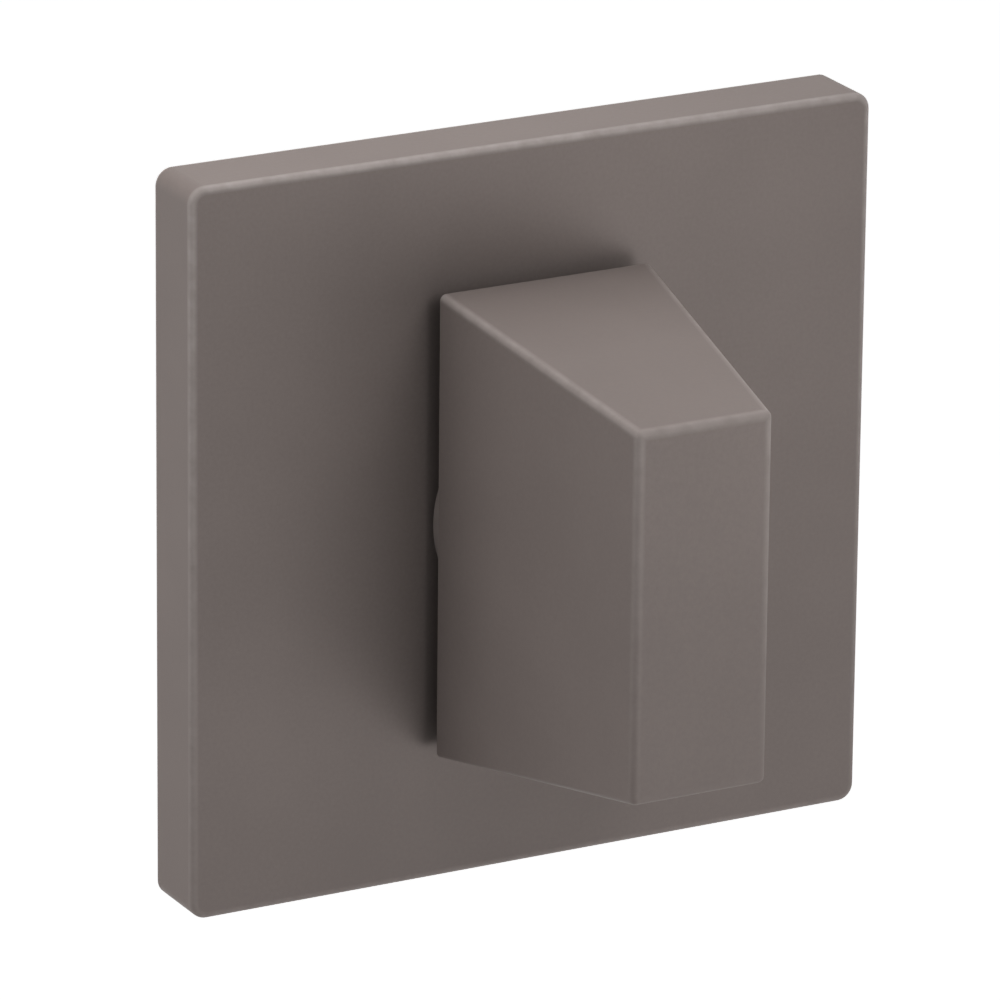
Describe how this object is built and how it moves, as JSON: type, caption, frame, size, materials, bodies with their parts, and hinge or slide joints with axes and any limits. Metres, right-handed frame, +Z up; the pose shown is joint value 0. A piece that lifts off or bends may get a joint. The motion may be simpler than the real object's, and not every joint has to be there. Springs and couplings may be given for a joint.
{
  "type": "bathroom thumb turn lock",
  "caption": "Square rose with a tapered wedge thumb turn on a square spindle, for locking a bathroom door; clip-on cover over a screwed base.",
  "frame": {"origin": "the turning axis where it meets the door's face, which is the middle of the rose's back", "axes": "+Y into the door along the turning axis, +Z up, +X to the right as seen from the room; the knob stands out along -Y and is upright at rest"},
  "size_m": [0.052, 0.069, 0.052],
  "materials": {
    "rose_finish": "fine matt warm brownish grey coat on a cast zinc cover",
    "knob_finish": "fine matt warm brownish grey coat on a cast zinc knob",
    "base_nylon": "glass-filled nylon, fine moulded grain",
    "bush_plastic": "smooth moulded acetal",
    "zinc_plated_steel": "bright zinc plating on drawn or stamped steel",
    "spring_steel": "dark oiled spring steel",
    "screw_steel": "yellow-passivated zinc on steel"
  },
  "bodies": {
    "rose": {"rose_cover": "rose_finish", "rose_base": "base_nylon", "bearing_bush": "bush_plastic", "thrust_washer": "zinc_plated_steel", "spring_washer": "spring_steel", "fixing_screw_upper_left": "screw_steel", "fixing_screw_lower_left": "screw_steel", "fixing_screw_upper_right": "screw_steel", "fixing_screw_lower_right": "screw_steel"},
    "turn": {"turn_knob": "knob_finish", "stop_disc": "zinc_plated_steel", "retaining_ring": "spring_steel", "spindle": "zinc_plated_steel", "spindle_pin": "spring_steel"}
  },
  "joints": [
    {"name": "knob_turn", "type": "hinge", "parent": "rose", "child": "turn", "pos_m": [0, 0, 0], "axis": [0, 1, 0], "range_deg": [-90, 90]}
  ]
}
